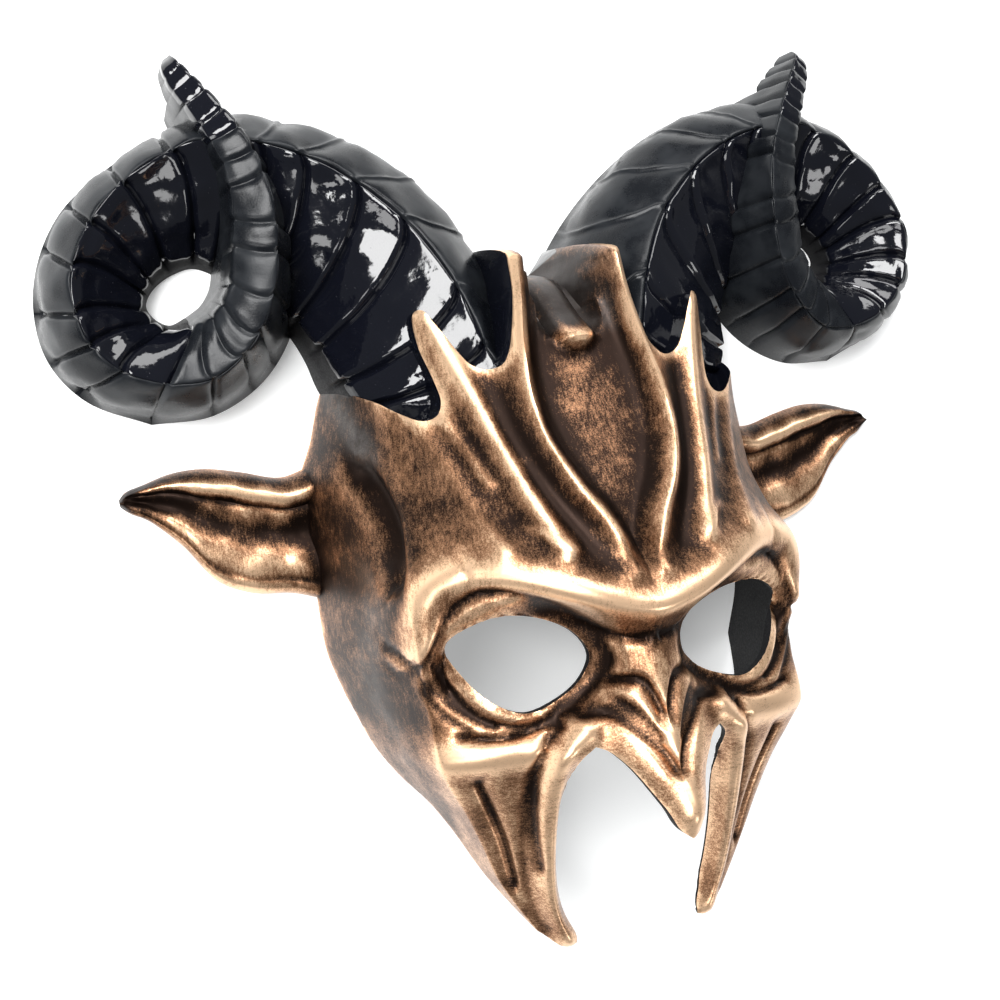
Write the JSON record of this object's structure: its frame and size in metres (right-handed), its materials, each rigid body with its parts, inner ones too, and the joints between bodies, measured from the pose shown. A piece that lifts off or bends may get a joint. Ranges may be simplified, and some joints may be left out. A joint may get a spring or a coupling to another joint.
{
  "type": "krampus mask",
  "caption": "Thin formed demon half mask with a heavy brow, beaked nose, moustache tails, pointed ears and coiled ringed horns; open at the back, with eye holes.",
  "frame": {"origin": "middle of the mask's outline, on the plane that its cut rim lies on", "axes": "+Z out of the face, away from the rim plane; +Y up the face towards the horns; +X to the right of someone looking at the face"},
  "size_m": [0.3044, 0.2764, 0.1053],
  "materials": {
    "shell": "dark brown plastic rubbed with copper paint on the face and ears, bare gloss black on the horns"
  },
  "bodies": {
    "root": {"mask_shell": "shell"}
  },
  "joints": []
}
